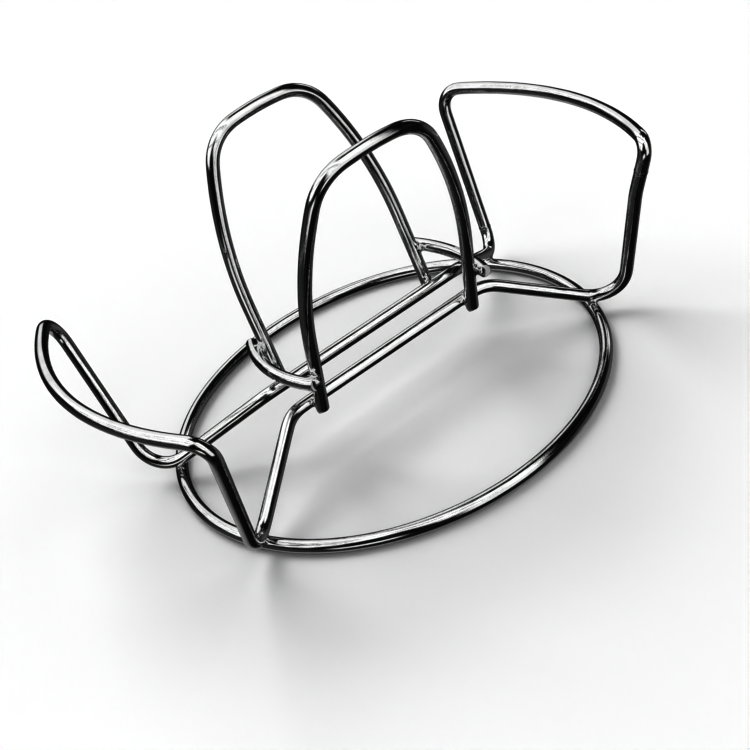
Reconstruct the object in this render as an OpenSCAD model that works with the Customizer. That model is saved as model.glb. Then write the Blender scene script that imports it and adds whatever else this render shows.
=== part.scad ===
// Bent wire stand: a round base ring carries a raised frame whose two rails end in
// four splayed legs and two upright end loops. Two arches stand on the rails and a
// short curved tie joins their legs at each end. Everything is one size of round wire.
// Millimetres, +Z up. x runs left to right, y front to back, z = 0 is the table and
// the origin is the middle of the stand on the table. Pairs of values are given as
// [left, right] or [front, back]; the small differences between the two sides are
// those of hand bending.

/* [Wire] */
// Diameter of every wire
wire_d = 5; // [3:0.5:8]
// Radius of a weld bead, as a share of the wire radius
weld_size = 1.3; // [1.1:0.05:1.6]
// Height of a butt weld above the wire it joins
butt_proud = 0.3; // [0.1:0.1:1]

/* [Base ring] */
// Diameter of the ring on the middle of its wire
ring_d = 175; // [120:1:260]
// Sideways place of the ring
ring_dx = -1; // [-5:0.5:5]

/* [Rails] */
// Height of the two rails, on the middle of the wire
rail_z = 26; // [15:0.5:60]
// Distance between the rails, middle to middle
rail_gap = 20; // [12:0.5:50]
// Length of a rail between its two corners
rail_l = 94; // [60:1:140]
// Sideways place of the rails, front and back
rail_dx = [1.5, 2.5]; // [-5:0.5:5]
// Front to back place of the whole frame on the ring
frame_dy = -1.5; // [-5:0.5:5]
// Bend radius at the rail corners, on the left
rail_bend_left = 13; // [6:0.5:20]
// Bend radius at the rail corners, on the right, front and back
rail_bend_right = [15, 13]; // [6:0.5:20]

/* [Frame legs] */
// Length over the corners where the legs turn up
foot_l = 177; // [120:1:260]
// Width over the corners where the legs turn up
foot_w = 79; // [50:0.5:150]
// Sideways place of those corners, front and back
foot_dx = [1, -2.5]; // [-5:0.5:5]
// Bend radius of those corners on the left, front and back
foot_bend_left = [11, 13]; // [5:0.5:20]
// Bend radius of those corners on the right, front and back
foot_bend_right = [13, 8]; // [5:0.5:20]

/* [End loops] */
// Distance between the two loops at their top corners
loop_l = 190; // [140:1:260]
// Sideways place of the loops
loop_dx = 2.5; // [-5:0.5:5]
// Width of the loops, left and right
loop_w = [144, 125]; // [80:0.5:200]
// Height of the top corners, left and right
loop_h = [74.5, 73.5]; // [40:0.5:120]
// Outward bow of the top bars, left and right
bow = [36, 27.5]; // [15:0.5:50]
// Rise of the top bars at the middle, left and right
bow_rise = [1.5, 0]; // [-3:0.5:5]
// Bend radius at the middle of the top bars, left and right
bow_r = [137, 136]; // [80:1:200]
// Bend radius of the left top corners, front and back
corner_left = [6, 9.5]; // [4:0.5:14]
// Backward and upward shift of the left back top corner
corner_shift = [1.5, -1.5]; // [-4:0.5:4]
// Bend radius of the right top corners, front and back
corner_right = [5, 8]; // [4:0.5:14]
// Share of the right front leg below its slight kink
kink_at = 0.7; // [0.5:0.05:0.8]
// Outward shift of the right front corner above the kink
kink = [0.5, -2.5]; // [-4:0.5:4]

/* [Arches] */
// Width of an arch at its feet, middle to middle
arch_w = 73; // [50:0.5:85]
// Width at the start of the curved upper legs
arch_waist = 71; // [50:0.5:85]
// Height of that place above the rails
arch_waist_h = 58.5; // [30:0.5:90]
// Width at the shoulders
shoulder_w = 42; // [20:0.5:60]
// Height of the shoulders above the rails
shoulder_h = 95.5; // [60:0.5:140]
// Height of the crown above the rails, along the arch
arch_h = 97; // [60:0.5:140]
// Outward lean of the arches, front and back
lean = [17, 6.5]; // [0:0.5:25]
// Sideways lean of the arches, front and back
side_lean = [2, 0.5]; // [-5:0.5:5]
// Sideways place of the arches, front and back
arch_dx = [2, 1.5]; // [-5:0.5:5]
// Length of the arch legs below the middle of the rails
leg_end = 3; // [2.5:0.5:10]
// Bend radii of an arch at waist, shoulder and crown
arch_bends = [150, 17.5, 90]; // [5:0.5:160]

/* [Ties] */
// Height of the ties, on the middle of the wire
tie_z = 40; // [33:0.5:55]
// Radius of the ties, left and right
tie_r = [60, 80]; // [30:1:200]
// Length of a tie past the front arch
tie_front = 5; // [3:0.5:20]
// Length of a tie past the back arch
tie_back = 8.5; // [3:0.5:20]

/* [Hidden] */

chrome = [0.8, 0.81, 0.83];
weld_grey = [0.7, 0.71, 0.72];
wire_r = wire_d / 2;
weld_r = wire_r * weld_size;
touch = wire_d + 0.02;      // distance between the middles of two wires that touch
tie_reach = 1.06;           // tie to arch leg, sideways, in wire diameters
butt_l = 2;                 // length of a butt weld
butt_at = [0.45, 0.15];     // place of the butt joints on the right legs, front and back
swell = 0.01;               // a bend is this much thicker than the straight wire
lap = 0.2;                 // and the straight wire runs this far into it
ring_c = [ring_dx, 0, wire_r];
$fa = 6;
$fs = 0.6;

// ---- points, with x and y = -1 or 1 for left or right and front or back ----

function pick(pair, side) = pair[side < 0 ? 0 : 1];

function rail_corner(x, y) =
    [x * rail_l / 2 + pick(rail_dx, y), frame_dy + y * rail_gap / 2, rail_z];

// Fall of a leg for each millimetre along the ground, such that it lies on the ring:
// it meets the ring after s millimetres, c is the sine of the crossing angle.
function fall(s, c) =
    let (h = rail_z - wire_r, a = pow(s * c, 2) - touch * touch, b = h * s * c * c)
    (b - sqrt(b * b - a * (h * h - touch * touch) * c * c)) / a;

function leg_fall(p, q) =
    let (d = unit([q[0] - p[0], q[1] - p[1]]), o = [p[0] - ring_dx, p[1]],
        s = sqrt(pow(o * d, 2) - o * o + ring_d * ring_d / 4) - o * d,
        m = (o + s * d) / (ring_d / 2))
    fall(s, m * d);

function foot_corner(x, y) =
    let (p = rail_corner(x, y),
        q = [x * foot_l / 2 + pick(foot_dx, y), frame_dy + y * foot_w / 2])
    [q[0], q[1], rail_z - leg_fall(p, q) * norm([q[0] - p[0], q[1] - p[1]])];

function top_corner(x, y) =
    [x * loop_l / 2 + loop_dx, frame_dy + y * pick(loop_w, x) / 2, pick(loop_h, x)]
    + (x < 0 && y > 0 ? [0, corner_shift[0], corner_shift[1]] : [0, 0, 0]);

function bow_middle(x) =
    [x * (loop_l / 2 + pick(bow, x)) + loop_dx, frame_dy, pick(loop_h, x) + pick(bow_rise, x)];

function along(p, q, share) = p + (q - p) * share;
kink_point = along(foot_corner(1, -1), top_corner(1, -1), kink_at);
kinked_corner = top_corner(1, -1) + [kink[0], kink[1], 0];
butt_front = along(kink_point, kinked_corner, butt_at[0]);
butt_back = along(foot_corner(1, 1), top_corner(1, 1), butt_at[1]);

// A place on an arch: x sideways and h up the arch from the middle of the rails.
function arch_point(y, x, h) =
    [pick(arch_dx, y) + x + tan(pick(side_lean, y)) * h,
     frame_dy + y * (rail_gap / 2 + touch / cos(pick(lean, y)) + h * sin(pick(lean, y))),
     rail_z + h * cos(pick(lean, y))];

function arch_leg(x, y, h) =
    arch_point(y, x * along(arch_w / 2, arch_waist / 2, (h + leg_end) / (arch_waist_h + leg_end)), h);

// Where the middle of a tie passes an arch leg.
function tie_point(x, y) =
    arch_leg(x, y, (tie_z - rail_z) / cos(pick(lean, y))) + [x * tie_reach * wire_d, 0, 0];

// ---- wire forming ----

function unit(v) = v / norm(v);
function turn(a, b, c) = acos(unit(b - a) * unit(c - b));
function cut(a, b, c, r) = r * tan(turn(a, b, c) / 2);

// Moves a child to o with its own x and z axes along x and z.
module in_frame(o, x, z) {
    y = cross(z, x);
    multmatrix([[x[0], y[0], z[0], o[0]], [x[1], y[1], z[1], o[1]],
                [x[2], y[2], z[2], o[2]], [0, 0, 0, 1]]) children();
}

// A straight length from p to q.
module run(p, q, r = wire_r) {
    z = unit(q - p);
    side = abs(z[2]) < 0.9 ? [0, 0, 1] : [0.6, 0.8, 0];
    in_frame(p, unit(cross(side, z)), z) cylinder(r = r, h = norm(q - p));
}

// A bend of radius r at b, for a wire that comes from a and leaves towards c.
module bend(a, b, c, r) {
    out = unit(unit(b - a) - unit(c - b));
    t = cut(a, b, c, r);
    start = b - t * unit(b - a);
    centre = b - out * norm([r, t]);
    in_frame(centre, unit(start - centre), unit(cross(b - a, c - b)))
        rotate_extrude(angle = turn(a, b, c)) translate([r, 0]) circle(r = wire_r + swell);
}

// A wire through the corners p, bent with radius r[i] at corner p[i].
module bent_wire(p, r) {
    n = len(p) - 1;
    t = [for (i = [0:n]) i == 0 || i == n ? 0 : cut(p[i - 1], p[i], p[i + 1], r[i])];
    for (i = [0:n - 1]) {
        d = unit(p[i + 1] - p[i]);
        run(p[i] + d * (t[i] - (i == 0 ? 0 : lap)),
            p[i + 1] - d * (t[i + 1] - (i == n - 1 ? 0 : lap)));
    }
    for (i = [1:n - 1]) bend(p[i - 1], p[i], p[i + 1], r[i]);
}

// ---- wires ----

module base_ring() {
    color(chrome) translate(ring_c) rotate_extrude() translate([ring_d / 2, 0]) circle(r = wire_r);
}

// From the back butt joint, along the back rail, round the left loop, along the
// front rail and up the right front leg to the front butt joint.
module frame_wire() {
    color(chrome) bent_wire(
        [butt_back, foot_corner(1, 1), rail_corner(1, 1), rail_corner(-1, 1), foot_corner(-1, 1),
         top_corner(-1, 1), bow_middle(-1), top_corner(-1, -1), foot_corner(-1, -1),
         rail_corner(-1, -1), rail_corner(1, -1), foot_corner(1, -1), kink_point, butt_front],
        [0, foot_bend_right[1], rail_bend_right[1], rail_bend_left, foot_bend_left[1],
         corner_left[1], bow_r[0], corner_left[0], foot_bend_left[0],
         rail_bend_left, rail_bend_right[0], foot_bend_right[0], 12, 0]);
}

module right_loop_bow() {
    color(chrome) bent_wire(
        [butt_front, kinked_corner, bow_middle(1), top_corner(1, 1), butt_back],
        [0, corner_right[0], bow_r[1], corner_right[1], 0]);
}

module arch(y) {
    color(chrome) bent_wire(
        [arch_leg(-1, y, -leg_end), arch_point(y, -arch_waist / 2, arch_waist_h),
         arch_point(y, -shoulder_w / 2, shoulder_h), arch_point(y, 0, arch_h),
         arch_point(y, shoulder_w / 2, shoulder_h), arch_point(y, arch_waist / 2, arch_waist_h),
         arch_leg(1, y, -leg_end)],
        [0, arch_bends[0], arch_bends[1], arch_bends[2], arch_bends[1], arch_bends[0], 0]);
}

module front_arch() { arch(-1); }
module back_arch() { arch(1); }

// Half the angle a tie spans between the two arches, and the middle of its curve.
function tie_half(x) = asin(norm(tie_point(x, 1) - tie_point(x, -1)) / 2 / pick(tie_r, x));
function tie_out(x) = x * unit(cross(tie_point(x, 1) - tie_point(x, -1), [0, 0, 1]));
function tie_centre(x) = (tie_point(x, 1) + tie_point(x, -1)) / 2
    - tie_out(x) * pick(tie_r, x) * cos(tie_half(x));

module tie(x) {
    r = pick(tie_r, x);
    degree = 180 / PI / r;
    first = -tie_half(x) - tie_front * degree;
    last = tie_half(x) + tie_back * degree;
    color(chrome) in_frame(tie_centre(x), tie_out(x), [0, 0, x]) rotate([0, 0, first])
        rotate_extrude(angle = last - first) translate([r, 0]) circle(r = wire_r);
}

module left_tie() { tie(-1); }
module right_tie() { tie(1); }

// ---- welds: a bead in the corner between two wires, cut out to fit both ----

// Middle of the gap between the straight lines p + s * u and q + s * v.
function between(p, u, q, v) =
    let (n = cross(u, v), w = q - p)
    p + u * (cross(w, v) * n) / (n * n) + n * (w * n) / (n * n) / 2;

// A ball there, with its poles in the two wires, less the wires themselves.
module bead(p, u, q, v) {
    color(weld_grey) difference() {
        in_frame(between(p, u, q, v), unit(unit(u) + unit(v)), unit(cross(u, v))) sphere(r = weld_r);
        children();
    }
}

module ring_weld(x, y) {
    p = rail_corner(x, y);
    q = foot_corner(x, y);
    d = unit([q[0] - p[0], q[1] - p[1]]);
    o = [p[0] - ring_dx, p[1]];
    m = o + d * (sqrt(pow(o * d, 2) - o * o + ring_d * ring_d / 4) - o * d);
    c = ring_c + [m[0], m[1], 0];
    t = 2 * wire_d * unit([-m[1], m[0], 0]);
    bead(p, q - p, c, t) {
        run(p, q);
        run(c - t, c + t);
    }
}

module arch_weld(x, y) {
    p = rail_corner(-1, y);
    q = rail_corner(1, y);
    a = arch_leg(x, y, -2 * wire_d);
    b = arch_leg(x, y, 2 * wire_d);
    bead(p, q - p, a, b - a) {
        run(p, q);
        run(a, b);
    }
}

module tie_weld(x, y) {
    h = (tie_z - rail_z) / cos(pick(lean, y));
    a = arch_leg(x, y, h - 2 * wire_d);
    b = arch_leg(x, y, h + 2 * wire_d);
    c = tie_point(x, y);
    t = 2 * wire_d * unit(cross([0, 0, 1], c - tie_centre(x)));
    bead(c, t, a, b - a) {
        run(a, b);
        run(c - t, c + t);
    }
}

// A thin collar where two ends of the frame wire meet.
module butt_weld(at, way) {
    half = unit(way) * butt_l / 2;
    color(weld_grey) difference() {
        run(at - half, at + half, wire_r + butt_proud);
        run(at - 2 * half, at + 2 * half);
    }
}

module ring_weld_front_left() { ring_weld(-1, -1); }
module ring_weld_front_right() { ring_weld(1, -1); }
module ring_weld_back_left() { ring_weld(-1, 1); }
module ring_weld_back_right() { ring_weld(1, 1); }
module arch_weld_front_left() { arch_weld(-1, -1); }
module arch_weld_front_right() { arch_weld(1, -1); }
module arch_weld_back_left() { arch_weld(-1, 1); }
module arch_weld_back_right() { arch_weld(1, 1); }
module tie_weld_front_left() { tie_weld(-1, -1); }
module tie_weld_front_right() { tie_weld(1, -1); }
module tie_weld_back_left() { tie_weld(-1, 1); }
module tie_weld_back_right() { tie_weld(1, 1); }
module butt_weld_front() { butt_weld(butt_front, kinked_corner - kink_point); }
module butt_weld_back() { butt_weld(butt_back, top_corner(1, 1) - foot_corner(1, 1)); }

base_ring();
frame_wire();
right_loop_bow();
front_arch();
back_arch();
left_tie();
right_tie();
ring_weld_front_left();
ring_weld_front_right();
ring_weld_back_left();
ring_weld_back_right();
arch_weld_front_left();
arch_weld_front_right();
arch_weld_back_left();
arch_weld_back_right();
tie_weld_front_left();
tie_weld_front_right();
tie_weld_back_left();
tie_weld_back_right();
butt_weld_front();
butt_weld_back();
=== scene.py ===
# A chromed wire stand on a white table: one piece for every wire and every weld.
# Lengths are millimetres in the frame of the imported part, unless a name says metres.
import math

import bmesh
import bpy
import numpy as np
from mathutils import Matrix, Vector


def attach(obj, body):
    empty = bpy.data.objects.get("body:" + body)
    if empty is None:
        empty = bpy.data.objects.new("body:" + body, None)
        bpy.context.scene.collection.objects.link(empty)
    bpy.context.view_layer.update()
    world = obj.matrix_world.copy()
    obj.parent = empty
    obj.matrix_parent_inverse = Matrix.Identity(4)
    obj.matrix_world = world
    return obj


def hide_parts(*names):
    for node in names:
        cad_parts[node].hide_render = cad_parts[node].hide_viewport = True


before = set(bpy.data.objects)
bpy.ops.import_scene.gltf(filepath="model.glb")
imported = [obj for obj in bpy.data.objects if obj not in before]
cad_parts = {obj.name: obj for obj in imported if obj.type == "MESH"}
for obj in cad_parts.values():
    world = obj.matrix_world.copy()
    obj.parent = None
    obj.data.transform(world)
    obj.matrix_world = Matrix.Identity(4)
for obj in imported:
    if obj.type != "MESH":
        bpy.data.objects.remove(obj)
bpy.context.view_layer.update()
MM = 0.001
LEFT, RIGHT, FRONT, BACK = -1, 1, -1, 1

# ---------------------------------------------------------------- driving dimensions
# A pair holds the values on two sides: left and right, or front and back.

WIRE_R = 2.5
TOUCH = 5.02                            # between the middles of two wires that cross
RING_R, RING_X = 87.5, -1.0             # the base ring's radius and its shift sideways
FRAME_Y = -1.5                          # the frame's shift forwards

RAIL_L, RAIL_GAP, RAIL_Z = 94.0, 20.0, 26.0
RAIL_X = (1.5, 2.5)                     # front and back
RAIL_BEND = ((13, 13), (15, 13))        # bend radii: left front and back, right front and back
FOOT_L, FOOT_W = 177.0, 79.0            # over the corners where the legs turn up
FOOT_X = (1.0, -2.5)                    # front and back
FOOT_BEND = ((11, 13), (13, 8))

LOOP_L, LOOP_X = 190.0, 2.5             # between the end loops, and their shift sideways
LOOP_W = (144.0, 125.0)                 # left and right
LOOP_Z = (74.5, 73.5)                   # the top corners' height, left and right
BOW = (36.0, 27.5)                      # how far the top bars bow outwards
BOW_Z = (76.0, 73.5)                    # the top bars' height at the middle
TOP_BEND = ((6, 9.5), (5, 8))
BOW_BEND = (137, 136)
CORNER_OFF = (0, 1.5, -1.5)             # how far the left back top corner is out of place
KINK_AT, KINK = 0.7, (0.5, -2.5, 0)     # the slight bend in the right front leg
KINK_BEND = 12
BUTT_AT = (0.45, 0.15)                  # share of the leg below the butt weld, front and back

ARCH_LEAN = (17, 6.5)                   # degrees outwards, front and back
ARCH_SLANT = (2, 0.5)                   # degrees to the right, front and back
ARCH_X = (2.0, 1.5)                     # front and back
# half width of an arch, height up its slope from the rail, and bend radius
ARCH_END = (36.5, -3.0, 0)
ARCH_SHOULDER = (35.5, 58.5, 150)
ARCH_CORNER = (21.0, 95.5, 17.5)
ARCH_TOP = (0.0, 97.0, 90)

TIE_Z, TIE_OUT = 40.0, 5.3              # height, and middle of the leg to middle of the tie
TIE_R = (60.0, 80.0)                    # left and right
TIE_PAST = (5.0, 8.5)                   # how far a tie runs past the legs, front and back

STEP = 0.9                              # between the points along a wire
SIDES = 32                              # of a wire's mesh
WANDER = 0.02                           # how much the drawn wire's surface wanders
EDGE_ROUND = 0.5                        # the broken edge of a sawn end
SAWN = -20.0                            # where sawn ends lie in the wire's own coordinates


def side(pair, s):
    """The value for this side: s is one of LEFT, RIGHT, FRONT and BACK."""
    return pair[0] if s < 0 else pair[1]


def unit(v):
    return v / np.linalg.norm(v)


def along(p, q, share):
    return p + (q - p) * share


# ---------------------------------------------------------------- the wires' corners

def rail_corner(x, y):
    return np.array([x * RAIL_L / 2 + side(RAIL_X, y), FRAME_Y + y * RAIL_GAP / 2, RAIL_Z])


def ring_hit(x, y):
    """Where a leg passes over the ring: the distance from the rail corner, the point from the
    ring's middle, the leg's way, and the distance to the leg's foot."""
    p = rail_corner(x, y)[:2] - (RING_X, 0)
    q = np.array([x * FOOT_L / 2 + side(FOOT_X, y) - RING_X, FRAME_Y + y * FOOT_W / 2])
    d = unit(q - p)
    s = math.sqrt((p @ d) ** 2 - p @ p + RING_R**2) - p @ d
    return s, p + s * d, d, np.linalg.norm(q - p)


def foot_corner(x, y):
    """The leg falls just enough to lie on the ring where it passes over it."""
    s, m, d, reach = ring_hit(x, y)
    c = unit(m) @ d
    h = RAIL_Z - WIRE_R
    a, b = (s * c) ** 2 - TOUCH**2, h * s * c * c
    fall = (b - math.sqrt(b * b - a * (h * h - TOUCH**2) * c * c)) / a
    p = rail_corner(x, y)
    return np.array([p[0] + d[0] * reach, p[1] + d[1] * reach, RAIL_Z - fall * reach])


def top_corner(x, y):
    off = CORNER_OFF if (x, y) == (LEFT, BACK) else (0, 0, 0)
    corner = np.array([x * LOOP_L / 2 + LOOP_X, FRAME_Y + y * side(LOOP_W, x) / 2, side(LOOP_Z, x)])
    return corner + off


def bow_middle(x):
    return np.array([x * (LOOP_L / 2 + side(BOW, x)) + LOOP_X, FRAME_Y, side(BOW_Z, x)])


kink = along(foot_corner(RIGHT, FRONT), top_corner(RIGHT, FRONT), KINK_AT)
kinked_corner = top_corner(RIGHT, FRONT) + KINK
butt_front = along(kink, kinked_corner, BUTT_AT[0])
butt_back = along(foot_corner(RIGHT, BACK), top_corner(RIGHT, BACK), BUTT_AT[1])


def arch_point(y, x, h):
    """A point of an arch, x from its middle and h up its slope from the rail."""
    lean, slant = math.radians(side(ARCH_LEAN, y)), math.radians(side(ARCH_SLANT, y))
    return np.array([
        side(ARCH_X, y) + x + math.tan(slant) * h,
        FRAME_Y + y * (RAIL_GAP / 2 + TOUCH / math.cos(lean) + h * math.sin(lean)),
        RAIL_Z + h * math.cos(lean),
    ])


def arch_leg(x, y, h):
    """A point of an arch's leg, below the shoulder."""
    share = (h - ARCH_END[1]) / (ARCH_SHOULDER[1] - ARCH_END[1])
    return arch_point(y, x * along(ARCH_END[0], ARCH_SHOULDER[0], share), h)


def tie_point(x, y):
    h = (TIE_Z - RAIL_Z) / math.cos(math.radians(side(ARCH_LEAN, y)))
    return arch_leg(x, y, h) + (x * TIE_OUT, 0, 0)


# ---------------------------------------------------------------- wire paths

def even(path):
    """The same path with evenly spaced points."""
    length = np.r_[0, np.cumsum(np.linalg.norm(np.diff(path, axis=0), axis=1))]
    at = np.linspace(0, length[-1], max(4, int(round(length[-1] / STEP)) + 1))
    return np.stack([np.interp(at, length, path[:, k]) for k in range(3)], 1)


def bent(route):
    """Straight lines joined by round bends. The route gives each corner and its radius."""
    p = [point for point, _ in route]
    out = [p[0]]
    for a, b, c, (_, r) in zip(p, p[1:], p[2:], route[1:]):
        u, v = unit(b - a), unit(c - b)
        turn = math.acos(max(-1, min(1, u @ v)))
        t = r * math.tan(turn / 2)
        centre = b + unit(v - u) * math.hypot(r, t)
        start = b - u * t - centre
        for w in np.linspace(0, turn, max(3, int(turn * r / STEP)) + 1):
            out.append(centre + start * math.cos(w) + u * r * math.sin(w))
    out.append(p[-1])
    return even(np.array(out))


def eased(path, times=6, ends=4):
    """Softens where a bend begins, as it is on real wire, and leaves the ends straight."""
    q = path.copy()
    for _ in range(times):
        before, after = q[ends - 1:-ends - 1], q[ends + 1:len(q) - ends + 1]
        q[ends:-ends] = (before + 2 * q[ends:-ends] + after) / 4
    return q


def ring_path():
    n = int(2 * math.pi * RING_R / STEP)
    w = np.arange(n) * 2 * math.pi / n
    return np.stack([RING_X + RING_R * np.cos(w), RING_R * np.sin(w), 0 * w + WIRE_R], 1)


def rail(x, y):
    return rail_corner(x, y), side(side(RAIL_BEND, x), y)


def foot(x, y):
    return foot_corner(x, y), side(side(FOOT_BEND, x), y)


def top(x, y):
    corner = kinked_corner if (x, y) == (RIGHT, FRONT) else top_corner(x, y)
    return corner, side(side(TOP_BEND, x), y)


def bow(x):
    return bow_middle(x), side(BOW_BEND, x)


def frame_path():
    """From the back butt weld along the back, round the left loop, and along the front."""
    return eased(bent([
        (butt_back, 0), foot(RIGHT, BACK), rail(RIGHT, BACK), rail(LEFT, BACK), foot(LEFT, BACK),
        top(LEFT, BACK), bow(LEFT), top(LEFT, FRONT), foot(LEFT, FRONT), rail(LEFT, FRONT),
        rail(RIGHT, FRONT), foot(RIGHT, FRONT), (kink, KINK_BEND), (butt_front, 0)]))


def bow_path():
    """The upper part of the right loop, between the butt welds."""
    return eased(bent([
        (butt_front, 0), top(RIGHT, FRONT), bow(RIGHT), top(RIGHT, BACK), (butt_back, 0)]))


def arch_path(y):
    half = [ARCH_END, ARCH_SHOULDER, ARCH_CORNER]
    route = [(-x, h, r) for x, h, r in half] + [ARCH_TOP] + half[::-1]
    return eased(bent([(arch_point(y, x, h), r) for x, h, r in route]))


def tie_path(x):
    a, b, r = tie_point(x, FRONT), tie_point(x, BACK), side(TIE_R, x)
    half = math.asin(np.linalg.norm(b - a) / 2 / r)
    way = unit(b - a)
    out = x * np.array([way[1], -way[0], 0])
    centre = (a + b) / 2 - out * r * math.cos(half)
    turns = np.linspace(-half - TIE_PAST[0] / r, half + TIE_PAST[1] / r, 70)
    return even(np.array([centre + r * (out * math.cos(w) + way * math.sin(w)) for w in turns]))


# ---------------------------------------------------------------- meshes

def link(name, data):
    """Puts a mesh, lamp or camera into the scene."""
    ob = bpy.data.objects.new(name, data)
    bpy.context.scene.collection.objects.link(ob)
    return ob


def piece(name, verts, faces, node, material, uvs=None):
    """One visible piece: a smooth mesh that stands for a node of the part."""
    me = bpy.data.meshes.new(name)
    me.from_pydata([tuple(v * MM) for v in verts], [], faces)
    me.polygons.foreach_set("use_smooth", [True] * len(me.polygons))
    if uvs is not None:
        layer = me.uv_layers.new(name="wire")
        layer.data.foreach_set("uv", np.array([c for face in uvs for c in face], float).ravel())
    me.validate()
    ob = link(name, me)
    me.materials.append(material)
    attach(ob, "root")
    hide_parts(node)


def frames(path, closed):
    """A direction across the wire at every point, carried along without twisting."""
    if closed:
        tan = np.roll(path, -1, 0) - np.roll(path, 1, 0)
    else:
        tan = np.gradient(path, axis=0)
    tan /= np.linalg.norm(tan, axis=1, keepdims=True)
    up = np.array([0.0, 0.0, 1.0]) if abs(tan[0][2]) < 0.9 else np.array([1.0, 0.0, 0.0])
    x = unit(up - tan[0] * (up @ tan[0]))
    xs = []
    for t in tan:
        x = unit(x - t * (x @ t))
        xs.append(x)
    xs = np.array(xs)
    return tan, xs, np.cross(tan, xs)


def wire(name, path, node, closed=False, end_round=EDGE_ROUND):
    """A round wire along a path. Its surface wanders by a few hundredths, as drawn wire does."""
    tan, xs, ys = frames(path, closed)
    n = len(path)
    seed = sum(map(ord, name))
    s = np.linspace(0, 2 * math.pi, n, endpoint=not closed)
    at = np.r_[0, np.cumsum(np.linalg.norm(np.diff(path, axis=0), axis=1))]

    def edge(i, inward, turns):
        """The rounded edge of a sawn end."""
        return [(path[i] + inward * end_round * (1 - math.cos(w)),
                 WIRE_R - end_round * (1 - math.sin(w)), i) for w in turns]

    # each row is its centre, its radius and its point of the path
    if closed:
        rows = [(path[i], WIRE_R, i) for i in range(n)]
    else:
        turns = np.linspace(0, math.pi / 2, 5)
        first = int(np.searchsorted(at, end_round * 1.5))
        rows = edge(0, tan[0], turns)
        rows += [(path[i], WIRE_R, i) for i in range(first, n - first)]
        rows += edge(n - 1, -tan[-1], turns[::-1])

    verts = []
    for centre, r, i in rows:
        for k in range(SIDES):
            a = 2 * math.pi * k / SIDES
            ripple = (math.sin(3 * a + 5 * s[i] + seed) * math.sin(9 * s[i] + seed)
                      + 0.6 * math.sin(2 * a - 13 * s[i] + 2 * seed)) / 1.6
            across = math.cos(a) * xs[i] + math.sin(a) * ys[i]
            verts.append(centre + (r - WANDER + WANDER * 0.9 * ripple) * across)

    faces, uvs = [], []
    m = len(rows)
    for j in range(m if closed else m - 1):
        j2 = (j + 1) % m
        u1 = at[rows[j][2]]
        u2 = at[rows[j2][2]] if j2 else u1 + STEP
        for k in range(SIDES):
            k2 = (k + 1) % SIDES
            faces.append((j * SIDES + k2, j2 * SIDES + k2, j2 * SIDES + k, j * SIDES + k))
            v1, v2 = k / SIDES, (k + 1) / SIDES
            uvs.append(((u1, v2), (u2, v2), (u2, v1), (u1, v1)))
    if not closed:   # the flat sawn ends, set apart in the coordinates for the chrome to find
        for row, order in ((0, range(SIDES)), (m - 1, range(SIDES - 1, -1, -1))):
            middle = len(verts)
            verts.append(rows[row][0])
            ring = [row * SIDES + k for k in order]
            flat = {middle: (SAWN, 0.0)}
            for k in ring:
                a = 2 * math.pi * (k % SIDES) / SIDES
                flat[k] = (SAWN + WIRE_R * math.cos(a), WIRE_R * math.sin(a))
            for k in range(SIDES):
                face = (ring[(k + 1) % SIDES], ring[k], middle)
                faces.append(face)
                uvs.append([flat[v] for v in face])
    piece(name, verts, faces, node, chrome, uvs)


def distance(points, path):
    """Distance from every point to a wire's surface."""
    best = np.full(len(points), np.inf)
    for p, q in zip(path, path[1:]):
        d = q - p
        t = np.clip((points - p) @ d / (d @ d), 0, 1)
        best = np.minimum(best, np.linalg.norm(points - p - t[:, None] * d, axis=1))
    return best - WIRE_R


def near(path, at, reach, closed=False):
    """The stretch of a path that lies within this reach of a point."""
    if closed:
        nearest = int(np.argmin(np.linalg.norm(path - at, axis=1)))
        path = np.roll(path, len(path) // 2 - nearest, 0)
    i = np.nonzero(np.linalg.norm(path - at, axis=1) < reach)[0]
    return path[max(0, i[0] - 1):i[-1] + 2]


def lumps(p, seed):
    """A smooth uneven field, about -1 to 1."""
    total = np.zeros(len(p))
    for k in range(1, 6):
        w = np.array([math.sin(seed + 7.1 * k), math.cos(2 * seed + 3.3 * k),
                      math.sin(1.7 * seed - 5.9 * k)])
        total += np.sin(p @ w * (0.7 + 0.45 * k) + seed * k) / (1 + 0.3 * k)
    return total / 2.2


FILLET = 2.3                            # how wide the melted metal fills a corner
BEAD_REACH = 4.6                        # the farthest a bead goes from its middle
MELTED = 12                             # how far along each wire a bead takes account of it
LAP, LUMP, FROTH = 0.05, 0.11, 0.03     # how far it dips under the wires, and its unevenness


def weld(name, path_a, path_b, node, closed_b=False):
    """A bead of melted metal that fills the corner between two wires and laps up both."""
    gaps = np.linalg.norm(path_a[::2, None] - path_b, axis=2)
    i, j = np.unravel_index(gaps.argmin(), gaps.shape)
    at = (path_a[2 * i] + path_b[j]) / 2
    a, b = near(path_a, at, MELTED), near(path_b, at, MELTED, closed_b)
    bm = bmesh.new()
    bmesh.ops.create_icosphere(bm, subdivisions=5, radius=1.0)
    dirs = np.array([v.co for v in bm.verts])
    tris = [tuple(v.index for v in f.verts) for f in bm.faces]
    bm.free()
    seed = sum(map(ord, node)) * 0.37
    grain = unit(dirs[7])
    # each point moves out or in along its own ray until it lies on the bead's surface
    t = np.zeros(len(dirs))
    for _ in range(40):
        p = at + dirs * t[:, None]
        da, db = distance(p, a), distance(p, b)
        corner = np.clip(1 - np.abs(da - db) / FILLET, 0, 1)
        f = np.minimum(da, db) - FILLET / 4 * corner**2
        f += LAP + corner * (LUMP * lumps(p, seed) + FROTH * np.sin(2.6 * (p @ grain) + seed))
        t = np.clip(t + np.clip(-f, -0.3, 0.6), 0.05, BEAD_REACH)
    piece(name, at + dirs * t[:, None], tris, node, weld_metal)


BUTT_HALF = 0.95                        # half the width of a butt weld's ridge
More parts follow.
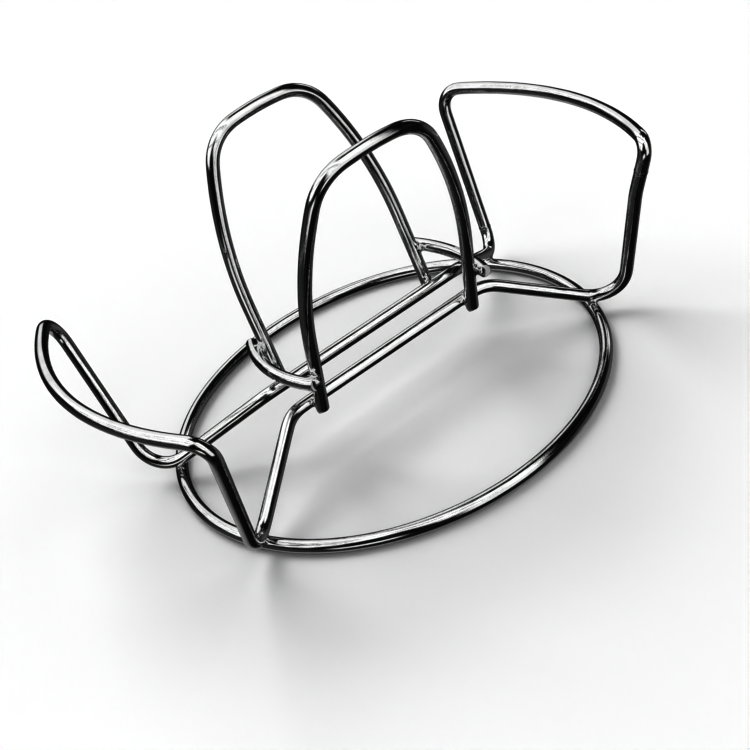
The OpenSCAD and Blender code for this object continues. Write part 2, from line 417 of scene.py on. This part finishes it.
# the ridge's section: share of the half width, and height over the wire
BUTT_SECTION = [(-1.0, -0.25), (-0.85, -0.03), (-0.6, 0.02), (-0.3, 0.06), (0, 0.08),
                (0.3, 0.06), (0.6, 0.02), (0.85, -0.03), (1.0, -0.25), (0.5, -0.4), (-0.5, -0.4)]


def butt(name, at, way, node):
    """The low ridge left where two ends of wire were welded together."""
    way = unit(way)
    x = unit(np.cross(way, (0.3, 0.9, 0.2)))
    y = np.cross(way, x)
    sides, n = 48, len(BUTT_SECTION)
    seed = sum(map(ord, name))
    verts, faces = [], []
    for j in range(sides):
        a = 2 * math.pi * j / sides
        rough = 0.03 * math.sin(4 * a + seed) + 0.02 * math.sin(9 * a + 2 * seed)
        shift = 0.048 * math.sin(3 * a + seed) + 0.024 * math.sin(7 * a)
        for u, h in BUTT_SECTION:
            r = WIRE_R + h + (rough if h > 0 else 0)
            forward = u * BUTT_HALF + (shift if abs(u) < 1 else 0)
            verts.append(at + way * forward + r * (math.cos(a) * x + math.sin(a) * y))
        j2 = (j + 1) % sides
        for k in range(n):
            k2 = (k + 1) % n
            faces.append((j * n + k, j2 * n + k, j2 * n + k2, j * n + k2))
    piece(name, verts, faces, node, weld_metal)


# ---------------------------------------------------------------- materials

class Nodes:
    """Short names for making shader nodes. A socket as a value is linked."""

    def __init__(self, owner):
        owner.use_nodes = True
        self.tree = owner.node_tree
        self.tree.nodes.clear()

    def put(self, socket, value):
        if isinstance(value, bpy.types.NodeSocket):
            self.tree.links.new(value, socket)
        else:
            socket.default_value = value

    def add(self, kind, **inputs):
        node = self.tree.nodes.new(kind)
        for name, value in inputs.items():
            self.put(node.inputs[name.replace("_", " ")], value)
        return node

    def coordinates(self, kind):
        return self.add("ShaderNodeTexCoord").outputs[kind]

    def math(self, what, *values):
        node = self.add("ShaderNodeMath")
        node.operation = what
        for socket, value in zip(node.inputs, values):
            self.put(socket, value)
        return node.outputs[0]

    def dot(self, a, b):
        node = self.add("ShaderNodeVectorMath")
        node.operation = "DOT_PRODUCT"
        self.put(node.inputs[0], a)
        self.put(node.inputs[1], b)
        return node.outputs["Value"]

    def step(self, value, low, high):
        """Goes softly from 0 at low to 1 at high, whichever is the larger."""
        node = self.add("ShaderNodeMapRange", Value=value, From_Min=low, From_Max=high)
        node.interpolation_type = "SMOOTHSTEP"
        return node.outputs[0]

    def noise(self, vector, scale, detail, roughness=0.5):
        return self.add("ShaderNodeTexNoise", Vector=vector, Scale=scale, Detail=detail,
                        Roughness=roughness).outputs[0]

    def greys(self, factor, low, high):
        """From one grey to another, each given as its place and its grey."""
        node = self.add("ShaderNodeValToRGB", Fac=factor)
        for element, (position, grey) in zip(node.color_ramp.elements, (low, high)):
            element.position = position
            element.color = (grey, grey, grey, 1)
        return node.outputs[0]

    def bump(self, height, strength, metres, normal=None):
        node = self.add("ShaderNodeBump", Height=height, Strength=strength, Distance=metres)
        if normal is not None:
            self.put(node.inputs["Normal"], normal)
        return node.outputs[0]

    def output(self, shader, kind="Material"):
        self.put(self.add("ShaderNodeOutput" + kind).inputs[0], shader.outputs[0])


def new_material(name):
    mat = bpy.data.materials.new(name)
    return mat, Nodes(mat)


def chrome_material():
    """Bright plating over drawn wire, with fine lines along it and a faint haze. The flat sawn
    ends are left matte."""
    mat, n = new_material("chrome_plating")
    place = n.add("ShaderNodeSeparateXYZ", Vector=n.coordinates("UV"))
    length, turn = place.outputs[0], place.outputs[1]
    angle = n.math("MULTIPLY", turn, 2 * math.pi)
    around = n.add("ShaderNodeCombineXYZ", X=n.math("COSINE", angle), Y=n.math("SINE", angle),
                   Z=n.math("MULTIPLY", length, 0.006)).outputs[0]
    lines = n.noise(around, 5.0, 4.0, 0.6)
    lobes = n.noise(around, 1.5, 0.0)
    haze = n.noise(n.coordinates("Object"), 90.0, 4.0, 0.6)
    sawn = n.step(length, SAWN / 2, SAWN / 2 - 1)
    rough = n.math("MULTIPLY_ADD", haze, 0.05, 0.01)
    n.output(n.add(
        "ShaderNodeBsdfPrincipled",
        Metallic=n.math("SUBTRACT", 1.0, sawn),
        Base_Color=n.greys(haze, (0.3, 0.80), (0.7, 0.93)),
        Roughness=n.math("MULTIPLY_ADD", sawn, 0.5, rough),
        Normal=n.bump(lobes, 1.0, 0.00012, n.bump(lines, 1.0, 0.000045))))
    return mat


def weld_material():
    """The same plating over melted metal: uneven, a little duller in its pits."""
    mat, n = new_material("plated_weld")
    at = n.coordinates("Object")
    pits = n.noise(at, 700.0, 5.0, 0.6)
    waves = n.noise(at, 260.0, 2.0)
    n.output(n.add(
        "ShaderNodeBsdfPrincipled",
        Metallic=1.0,
        Base_Color=n.greys(pits, (0.35, 0.72), (0.62, 0.9)),
        Roughness=n.math("MULTIPLY_ADD", pits, 0.28, 0.03),
        Normal=n.bump(pits, 0.3, 0.00003, n.bump(waves, 0.5, 0.00012))))
    return mat


chrome = chrome_material()
weld_metal = weld_material()

# ---------------------------------------------------------------- the stand

ring, frame_wire = ring_path(), frame_path()
arches = {FRONT: arch_path(FRONT), BACK: arch_path(BACK)}
ties = {LEFT: tie_path(LEFT), RIGHT: tie_path(RIGHT)}

wire("ring_wire", ring, "base_ring", closed=True)
wire("bent_frame_wire", frame_wire, "frame_wire", end_round=0.1)
wire("right_loop_wire", bow_path(), "right_loop_bow", end_round=0.1)
wire("front_arch_wire", arches[FRONT], "front_arch")
wire("back_arch_wire", arches[BACK], "back_arch")
wire("left_tie_wire", ties[LEFT], "left_tie", end_round=0.3)
wire("right_tie_wire", ties[RIGHT], "right_tie", end_round=0.3)

for where, x, y in (("front_left", LEFT, FRONT), ("front_right", RIGHT, FRONT),
                    ("back_left", LEFT, BACK), ("back_right", RIGHT, BACK)):
    middle = len(arches[y]) // 2
    half_arch = arches[y][:middle] if x == LEFT else arches[y][middle:]
    crossing = np.append(ring_hit(x, y)[1] + (RING_X, 0), 3 * WIRE_R)
    leg = near(frame_wire, crossing, 20)
    rail_part = near(frame_wire, arch_leg(x, y, 0), 14)
    weld("ring_bead_" + where, leg, ring, "ring_weld_" + where, closed_b=True)
    weld("arch_bead_" + where, half_arch, rail_part, "arch_weld_" + where)
    weld("tie_bead_" + where, half_arch, ties[x], "tie_weld_" + where)
butt("butt_ridge_front", butt_front, kinked_corner - kink, "butt_weld_front")
butt("butt_ridge_back", butt_back, top_corner(RIGHT, BACK) - foot_corner(RIGHT, BACK),
     "butt_weld_back")

# ---------------------------------------------------------------- table, backdrop and light

HALF_TABLE_METRES, BACKDROP_METRES = 6.0, 5.9
TABLE_LIGHT = 3.46                      # what makes the open table just white


def way(azimuth, elevation):
    """A unit vector: azimuth 0 is +Y and 90 is +X."""
    a, e = math.radians(azimuth), math.radians(elevation)
    return Vector((math.sin(a) * math.cos(e), math.cos(a) * math.cos(e), math.sin(e)))


def staged(ob, camera=False, diffuse=False, shadow=False):
    """Says which rays see an object that is part of the studio."""
    ob.visible_camera, ob.visible_diffuse, ob.visible_shadow = camera, diffuse, shadow
    ob.visible_glossy = ob.visible_transmission = ob.visible_volume_scatter = False


def table_top():
    half = HALF_TABLE_METRES
    me = bpy.data.meshes.new("table_top")
    me.from_pydata([(-half, -half, 0), (half, -half, 0), (half, half, 0), (-half, half, 0)],
                   [], [(0, 1, 2, 3)])
    mat, n = new_material("white_table")
    grey = n.greys(n.noise(n.coordinates("Object"), 3.0, 3.0), (0.0, 0.9), (1.0, 0.93))
    n.output(n.add("ShaderNodeBsdfDiffuse", Color=grey))
    me.materials.append(mat)
    staged(link("table_top", me), camera=True, diffuse=True)


def backdrop():
    me = bpy.data.meshes.new("backdrop")
    bm = bmesh.new()
    bmesh.ops.create_uvsphere(bm, u_segments=48, v_segments=24, radius=BACKDROP_METRES)
    bm.to_mesh(me)
    bm.free()
    mat, n = new_material("backdrop_paper")
    n.output(n.add("ShaderNodeEmission", Color=(1, 1, 1, 1), Strength=1.0))
    me.materials.append(mat)
    staged(link("backdrop", me), camera=True)


def flag():
    """A round gauze with a hole, held over the stand out of sight: it deepens the soft shade."""
    sides, inner, outer, clear = 96, 42, 112, 0.76
    turns = [2 * math.pi * k / sides for k in range(sides)]
    rims = [(r * MM * math.cos(a), r * MM * math.sin(a), 0) for r in (inner, outer) for a in turns]
    faces = [(k, (k + 1) % sides, sides + (k + 1) % sides, sides + k) for k in range(sides)]
    me = bpy.data.meshes.new("gauze_flag")
    me.from_pydata(rims, [], faces)
    mat, n = new_material("gauze")
    n.output(n.add("ShaderNodeBsdfTransparent", Color=(clear, clear, clear, 1)))
    me.materials.append(mat)
    ob = link("gauze_flag", me)
    ob.location = Vector((-14, 12, 45)) * MM
    staged(ob, shadow=True)


def lamp(name, azimuth, elevation, spread, share):
    """A far panel that gives the table this share of its light; spread is how wide it looks."""
    data = bpy.data.lights.new(name, "SUN")
    data.angle = math.radians(spread)
    data.energy = share * TABLE_LIGHT / math.sin(math.radians(elevation))
    ob = link(name, data)
    ob.rotation_mode = "QUATERNION"
    ob.rotation_quaternion = (-way(azimuth, elevation)).to_track_quat("-Z", "Y")
    ob.visible_glossy = False


def studio():
    """The room that the chrome mirrors: white panels in a dark studio, and the lit table."""
    world = bpy.data.worlds.new("studio")
    bpy.context.scene.world = world
    n = Nodes(world)
    d = n.coordinates("Generated")

    def within(value, low, high, soft):
        return n.math("MULTIPLY", n.step(value, low - soft, low + soft),
                      n.step(value, high + soft, high - soft))

    def panel(azimuth, elevation, across, up, soft, bright, roll=0):
        """A flat panel seen in that direction; across and up are the tangents of its edges."""
        middle = way(azimuth, elevation)
        turn = Matrix.Rotation(math.radians(roll), 3, middle)
        right = turn @ way(azimuth + 90, 0)
        top = turn @ way(azimuth + 90, 0).cross(middle)
        front = n.math("MAXIMUM", n.dot(d, tuple(middle)), 0.001)
        x = n.math("DIVIDE", n.dot(d, tuple(right)), front)
        y = n.math("DIVIDE", n.dot(d, tuple(top)), front)
        inside = n.math("MULTIPLY", within(x, *across, soft), within(y, *up, soft))
        return n.math("MULTIPLY", inside, bright)

    def glow(azimuth, elevation, inner, outer, bright):
        """A round soft patch between two angles from its middle."""
        inside = n.step(n.dot(d, tuple(way(azimuth, elevation))),
                        math.cos(math.radians(outer)), math.cos(math.radians(inner)))
        return n.math("MULTIPLY", inside, bright)

    ceiling = panel(0, 90, (-3.4, 0.08), (-2.2, 0.40), 0.08, 1.40)
    ceiling_end = panel(8, 36, (-0.42, 0.40), (-0.36, 0.45), 0.08, 1.15)
    front_high = panel(178, 42, (-0.55, 0.45), (-0.50, 0.80), 0.07, 1.40)
    front_low = panel(172, 5, (-0.42, 0.36), (-0.52, 0.60), 0.08, 1.15)
    window = panel(67, 18, (-0.26, 0.26), (-0.12, 0.12), 0.05, 1.35, 40)
    low_left = panel(-123, -13, (-0.30, 0.28), (-0.16, 0.18), 0.08, 1.15, 12)
    table_behind = glow(-10, -55, 10, 34, 0.55)
    table_left = glow(-60, -30, 10, 50, 0.10)
    table_right = glow(85, -30, 8, 40, 0.20)
    total = ceiling
    for part in (ceiling_end, front_high, front_low, window, low_left,
                 table_behind, table_left, table_right):
        total = n.math("MAXIMUM", total, part)

    # dark gaps between the ceiling's sheets
    height = n.dot(d, (0, 0, 1))
    across = n.math("DIVIDE", n.dot(d, (1, 0.25, 0)), n.math("MAXIMUM", height, 0.05))
    for x, wide in ((-0.9, 0.04), (-0.25, 0.035)):
        off = n.math("ABSOLUTE", n.math("SUBTRACT", across, x))
        gap = n.math("MULTIPLY", n.step(off, wide * 1.4, wide * 0.6), n.step(height, 0.15, 0.25))
        total = n.math("MULTIPLY", total, n.math("MULTIPLY_ADD", gap, -0.85, 1.0))

    # faint uneven light in the dark of the room
    dim = n.math("MULTIPLY_ADD", n.noise(d, 3.5, 3.0), 0.16, -0.045)
    total = n.math("ADD", total, n.math("MAXIMUM", dim, 0.0))
    n.output(n.add("ShaderNodeBackground", Strength=total), "World")
    seen = world.cycles_visibility
    seen.camera = seen.diffuse = seen.transmission = seen.scatter = False
    seen.glossy = True


table_top()
backdrop()
studio()
flag()
lamp("back_low", 0, 31, 48, 0.29)
lamp("back_high", 5, 52, 36, 0.26)
lamp("front_low", 180, 34, 45, 0.14)
lamp("right", 108, 45, 45, 0.12)
lamp("left", -50, 45, 55, 0.10)
lamp("overhead", 0, 85, 80, 0.09)

view = bpy.context.scene.view_settings
view.view_transform = "Standard"
view.look = "None"
view.gamma = 0.5                        # deepens the blacks and the shade


def camera():
    """Above and to the left of the front, turned a little to the right."""
    azimuth, elevation, roll = (math.radians(v) for v in (-22.447, 32.497, -21.754))
    aim, distance_back = Vector((1.523, 12.765, 2.5)), 527.03
    back = Vector((math.sin(azimuth) * math.cos(elevation),
                   -math.cos(azimuth) * math.cos(elevation), math.sin(elevation)))
    right = Vector((math.cos(azimuth), math.sin(azimuth), 0))
    up = back.cross(right)
    x = math.cos(roll) * right + math.sin(roll) * up
    y = -math.sin(roll) * right + math.cos(roll) * up
    data = bpy.data.cameras.new("camera")
    data.sensor_width, data.lens = 36.0, 62.49
    data.clip_start, data.clip_end = 0.01, 20
    ob = link("camera", data)
    ob.matrix_world = (Matrix.Translation((aim + back * distance_back) * MM)
                       @ Matrix((x, y, back)).transposed().to_4x4())
    bpy.context.scene.camera = ob


camera()
